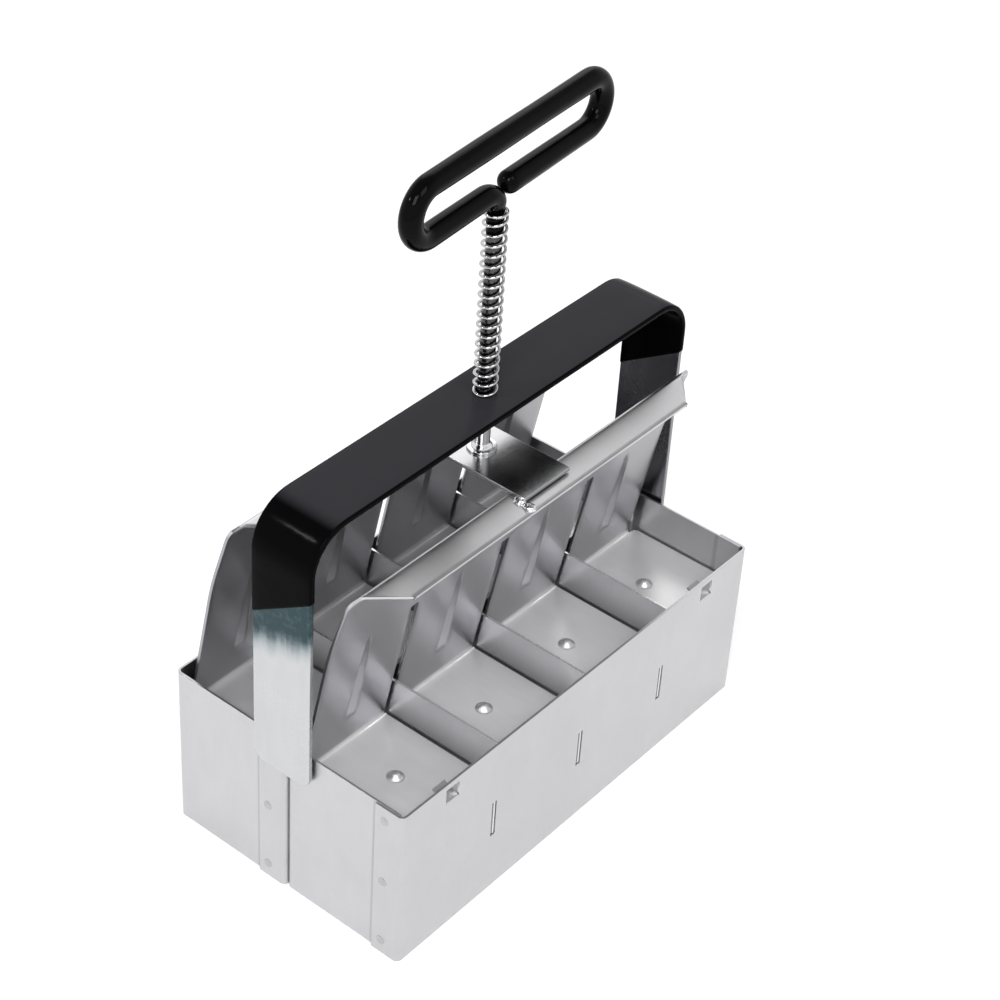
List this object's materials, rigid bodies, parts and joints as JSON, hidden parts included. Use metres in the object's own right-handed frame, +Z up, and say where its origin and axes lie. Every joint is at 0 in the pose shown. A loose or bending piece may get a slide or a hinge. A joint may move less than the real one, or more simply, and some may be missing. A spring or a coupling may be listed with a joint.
{
  "type": "soil blocker",
  "caption": "Hand tool that presses damp soil into square blocks: twin rows of open-bottomed cells under a bail, with a sprung plunger that pushes the blocks out.",
  "frame": {"origin": "middle of the footprint, on the surface that the box stands on", "axes": "+X along the rows of cells, +Y across the rows, +Z up along the plunger rod"},
  "size_m": [0.214, 0.114, 0.2854],
  "materials": {
    "galvanised_sheet": "satin galvanised sheet",
    "divider_steel": "satin galvanised sheet, darker between the cells",
    "ejector_steel": "smooth bright sheet",
    "bail_steel": "smooth galvanised strap",
    "satin_vinyl": "satin black vinyl",
    "gloss_vinyl": "glossy black vinyl",
    "spring_chrome": "bright wire",
    "plated_rod": "bright zinc plate",
    "polished_steel": "polished plate",
    "weld": "rough weld bead",
    "dibble_steel": "turned steel"
  },
  "bodies": {
    "root": {"front_shell": "galvanised_sheet", "front_side_wall": "galvanised_sheet", "rear_shell": "galvanised_sheet", "rear_side_wall": "galvanised_sheet", "front_divider_1": "divider_steel", "front_divider_2": "divider_steel", "front_divider_3": "divider_steel", "rear_divider_1": "divider_steel", "rear_divider_2": "divider_steel", "rear_divider_3": "divider_steel", "bail_strap": "bail_steel", "bail_grip": "satin_vinyl", "return_spring": "spring_chrome"},
    "plunger": {"front_ejector": "ejector_steel", "rear_ejector": "ejector_steel", "bridge_plate": "polished_steel", "bridge_tacks": "weld", "rod_washer_upper": "plated_rod", "rod_washer_lower": "plated_rod", "lock_nut": "plated_rod", "plunger_rod": "plated_rod", "plunger_grip": "gloss_vinyl", "front_dibble_1": "dibble_steel", "front_dibble_2": "dibble_steel", "front_dibble_3": "dibble_steel", "front_dibble_4": "dibble_steel", "rear_dibble_1": "dibble_steel", "rear_dibble_2": "dibble_steel", "rear_dibble_3": "dibble_steel", "rear_dibble_4": "dibble_steel", "front_dibble_screws": "plated_rod", "rear_dibble_screws": "plated_rod"}
  },
  "joints": [
    {"name": "plunger_slide", "type": "slide", "parent": "root", "child": "plunger", "axis": [0, 0, -1], "range_m": [0, 0.041], "stiffness_N_per_m": 300, "springref_m": -0.05, "deforming": ["return_spring"]}
  ]
}
